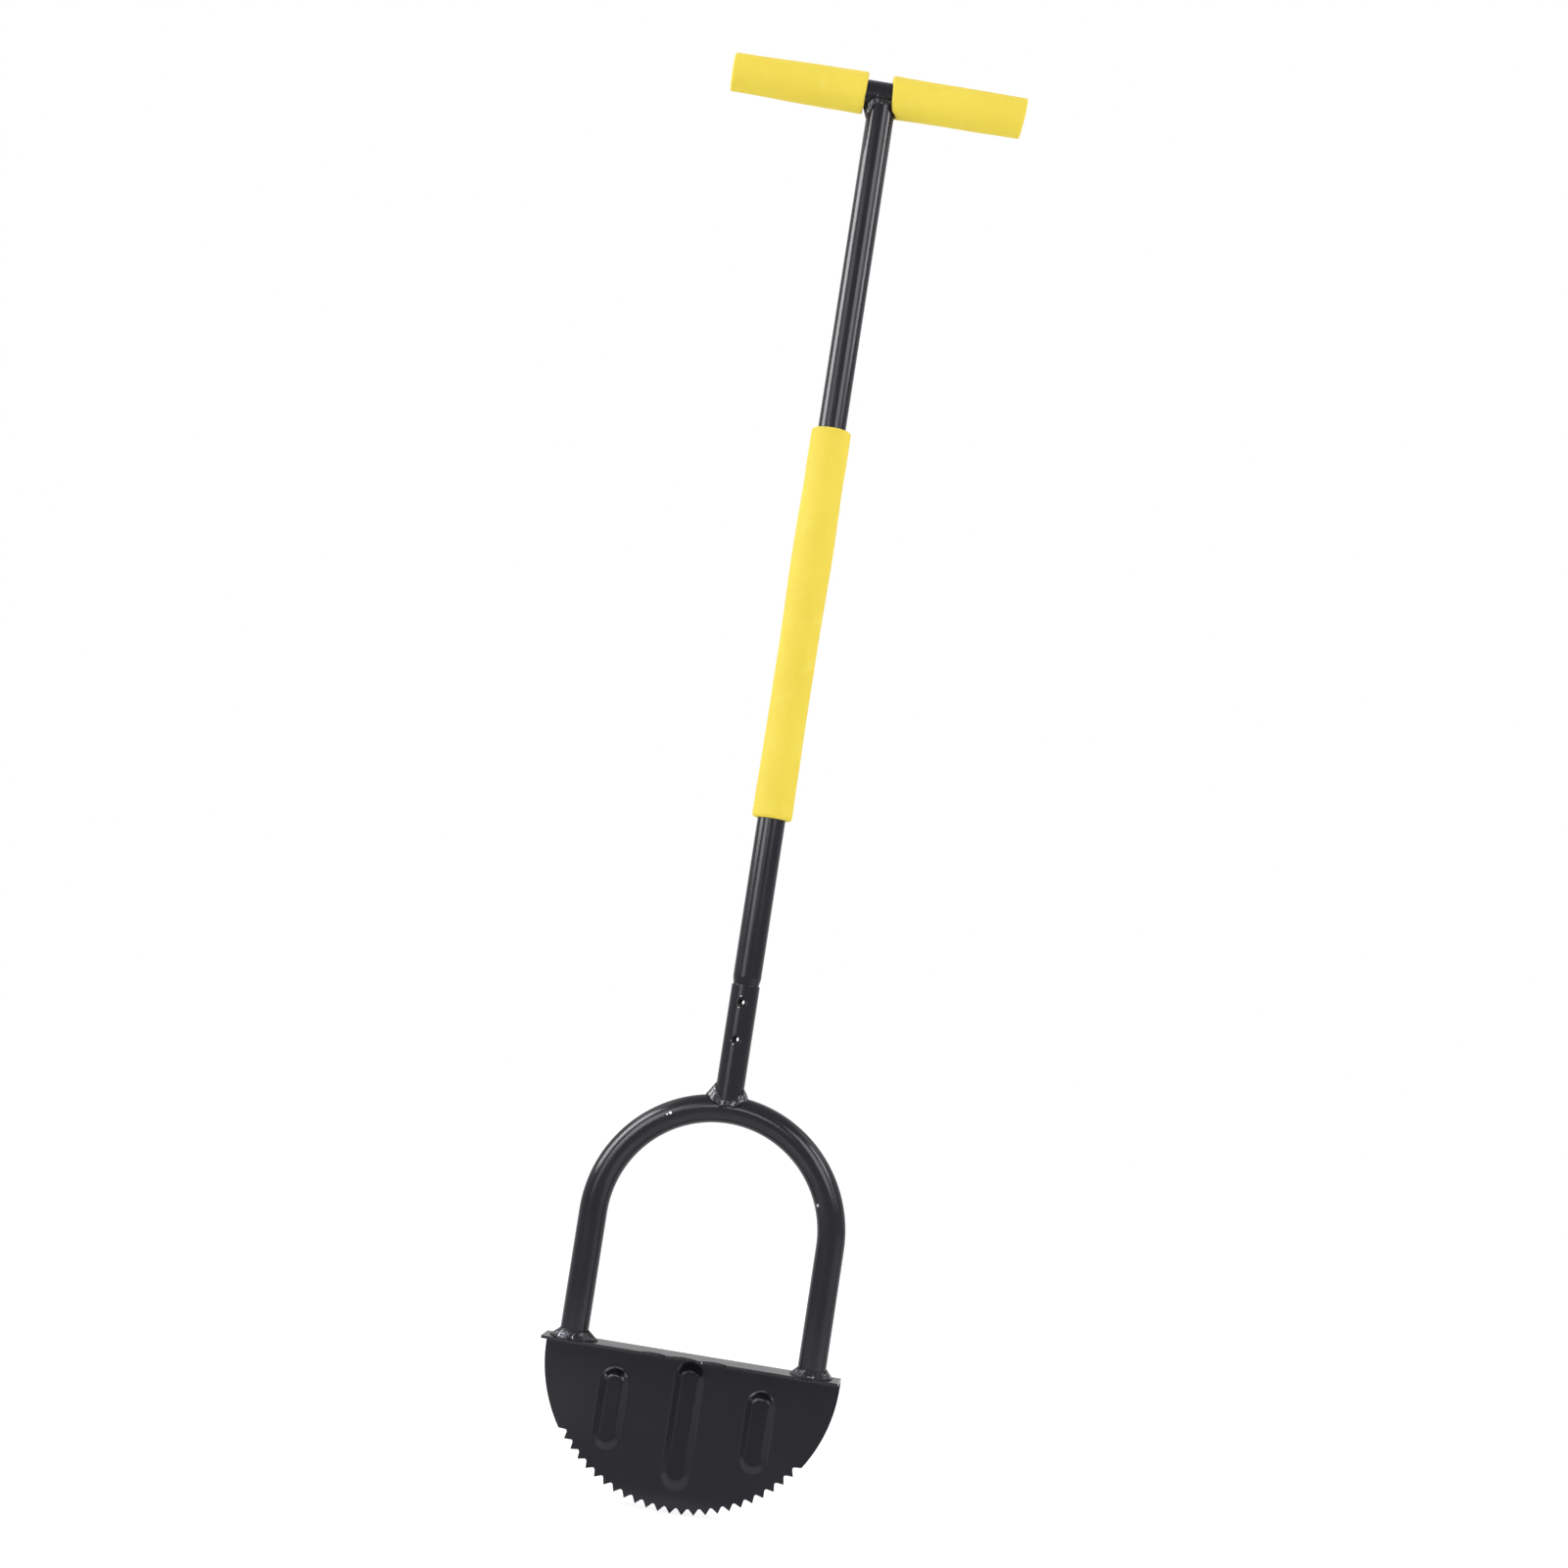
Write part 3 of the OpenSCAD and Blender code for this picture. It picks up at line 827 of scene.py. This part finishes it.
def stage_plane(name, corners, material):
    mesh = bpy.data.meshes.new(name)
    mesh.from_pydata(corners, [], [(0, 1, 2, 3)])
    mesh.materials.append(material)
    obj = bpy.data.objects.new(name, mesh)
    scene.collection.objects.link(obj)
    return obj


def seen_directly(n):
    """1 for rays that show a surface to the camera, also in a reflection, and 0 for the light it gives."""
    path = n.add("LightPath")
    seen = n.math("MAXIMUM", path.outputs["Is Camera Ray"], path.outputs["Is Glossy Ray"])
    return n.math("MAXIMUM", seen, path.outputs["Is Transmission Ray"])


def make_floor():
    """Pale floor that keeps the object's shadow, a little below the teeth."""
    size, drop = 14, 0.0006
    mat, n = empty_material("pale_floor")
    diffuse = n.add("BsdfDiffuse")
    diffuse.inputs["Color"].default_value = (0.62, 0.62, 0.62, 1)
    glow = n.add("Emission")
    n.link(n.span(seen_directly(n), 0, 1, 0.35, 0.6), glow.inputs["Strength"])
    both = n.add("AddShader")
    n.link(diffuse.outputs[0], both.inputs[0])
    n.link(glow.outputs[0], both.inputs[1])
    n.link(both.outputs[0], n.add("OutputMaterial").inputs[0])
    corners = [(-size, -size, 0), (size, -size, 0), (size, size, 0), (-size, size, 0)]
    stage_plane("floor", corners, mat).location.z = -drop


def make_world():
    """White surroundings, a little dimmer as light than they look."""
    world = bpy.data.worlds.new("world")
    scene.world = world
    world.use_nodes = True
    n = Nodes(world.node_tree)
    back = n.add("Background")
    back.inputs["Color"].default_value = (1, 1, 1, 1)
    n.link(n.span(seen_directly(n), 0, 1, 0.84, 1.0), back.inputs["Strength"])
    n.link(back.outputs[0], n.add("OutputWorld").inputs[0])


def make_card():
    """Grey card left of the blade that only its reflections see."""
    x, front, back, top = -0.27, -0.34, 0.1, 0.075
    mat, n = empty_material("black_card")
    matt = n.add("BsdfDiffuse")
    matt.inputs["Color"].default_value = (0.64, 0.64, 0.64, 1)
    n.link(matt.outputs[0], n.add("OutputMaterial").inputs[0])
    card = stage_plane("dark_card", [(x, front, 0), (x, back, 0), (x, back, top), (x, front, top)], mat)
    card.visible_camera = card.visible_diffuse = card.visible_transmission = card.visible_shadow = False


def lamp(name, place, aim, width, height, brightness, gloss_only=True):
    """Softbox from a place to an aim in metres, with its brightness in units of 4 watts per square metre.
    Most only add the sheen that the dark coat shows."""
    data = bpy.data.lights.new(name, "AREA")
    data.shape = "RECTANGLE"
    data.size, data.size_y = width, height
    data.energy = brightness * 4 * width * height
    obj = bpy.data.objects.new(name, data)
    obj.location = place
    obj.rotation_euler = (Vector(aim) - obj.location).to_track_quat("-Z", "Y").to_euler()
    obj.visible_diffuse = not gloss_only
    obj.visible_camera = False
    scene.collection.objects.link(obj)


def around(azimuth, distance, z):
    """Place at an azimuth from the front, positive to the right."""
    a = math.radians(azimuth)
    return (distance * math.sin(a), -distance * math.cos(a), z)


def make_lamps():
    lamp("key_left", around(-70, 1.5, 1.45), (0, 0, 0.65), 0.7, 0.7, 4.6, gloss_only=False)
    lamp("fill_right", around(68, 1.8, 1.2), (0, 0, 0.65), 0.7, 0.9, 2.6, gloss_only=False)
    lamp("side_strip", around(-77, 1.3, 1.12), (0, 0, 1.0), 0.68, 1.12, 16.5)
    lamp("left_panel", around(-31, 1.4, 0.80), (0, 0, 0.7), 0.66, 1.1, 4.0)
    lamp("left_core", around(-31, 1.38, 0.74), (0, 0, 0.6), 0.56, 0.46, 7.0)
    lamp("right_panel", around(37, 1.4, 1.12), (0, 0, 1.0), 0.6, 1.0, 8.0)
    lamp("right_strip", around(79, 1.4, 1.45), (0, 0, 1.0), 0.38, 0.62, 14.5)
    lamp("front_top", around(-4, 1.6, 0.79), (0, 0, 0.2), 0.5, 0.32, 10.0)
    lamp("back_left", around(-112, 1.4, 1.75), (0, 0, 0.3), 0.7, 0.8, 1.4)
    lamp("back_right", around(115, 1.4, 1.75), (0, 0, 0.3), 0.7, 0.8, 1.5)
    lamp("low_right", around(70, 0.6, 0.12), (0, 0, 0.1), 0.5, 0.24, 0.8)
    lamp("floor_front", (0, -0.018, 0.002), (0, -0.018, 1), 0.2, 0.05, 0.9)
    lamp("floor_right", (0.33, -0.47, 0.002), (0.33, -0.47, 1), 0.36, 0.5, 0.9)
    lamp("under_arch", (0.03, -0.16, 0.102), (0.03, -0.16, 1), 0.66, 0.28, 0.85)
    lamp("floor_left", (-0.3, -0.5, 0.002), (-0.3, -0.5, 1), 0.34, 0.5, 1.0)


# Bare chipped spots in the coats, and painted highlight glints at the socket's hole rims, as points and radii
# in millimetres
STEP_CHIPS = [((HEAD_X - 10.5, STEP_FRONT, STEP_Z - 1.8), 0.4),
              ((HEAD_X + 9.4, STEP_FRONT, STEP_Z - 2.0), 0.5)]
YOKE_CHIPS = [((HEAD_X - 39.8, -9.5, YOKE_Z + 76.1), 0.9), ((HEAD_X - 41.9, -9.4, YOKE_Z + 74.8), 0.7),
              ((HEAD_X + 72.0, -6.95, YOKE_Z + 28.4), 1.1)]
# Painted highlights: light spots where the socket's highlight line crosses the rims of its holes.
SOCKET_GLINTS = [((-1.2, -9.9, UPPER_HOLE_Z + 4.1), 0.3), ((-1.7, -9.85, UPPER_HOLE_Z - 4.1), 0.24),
                ((-3.9, -9.2, LOWER_HOLE_Z - 1.4), 0.26), ((-1.7, -9.85, LOWER_HOLE_Z - 3.8), 0.26)]

scene.view_settings.view_transform = "Standard"
make_camera()
make_floor()
make_world()
make_card()
make_lamps()

tube_coats = {
    "yoke_tube": paint_material("powder_coat_yoke", 0.5, YOKE_CHIPS),
    # The socket's edges are lighter still as painted highlight on the hole rims, and its spots are painted
    # highlight glints.
    "socket_tube": paint_material("powder_coat_socket", 0.9, SOCKET_GLINTS, rub_and_highlight=1.0),
    # The shaft's end inside the socket is painted dark as shade.
    "shaft_tube": paint_material("powder_coat_shaft", 0.5, shaded_below=RIM_Z - 1),
    "cross_tube": paint_material("powder_coat", 0.5),
}
for node, coat in tube_coats.items():
    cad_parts[node].data.materials.clear()
    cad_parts[node].data.materials.append(coat)

make_blade(paint_material("powder_coat_blade", 0.4, STEP_CHIPS, rub_and_highlight=0.7, pressed=True))

foam = foam_material()
for make_grip in (make_left_grip, make_right_grip, make_shaft_grip):
    make_grip(foam)

weld = weld_material()
for make_bead in (make_left_foot_bead, make_right_foot_bead, make_socket_bead, make_cross_bead):
    make_bead(weld)
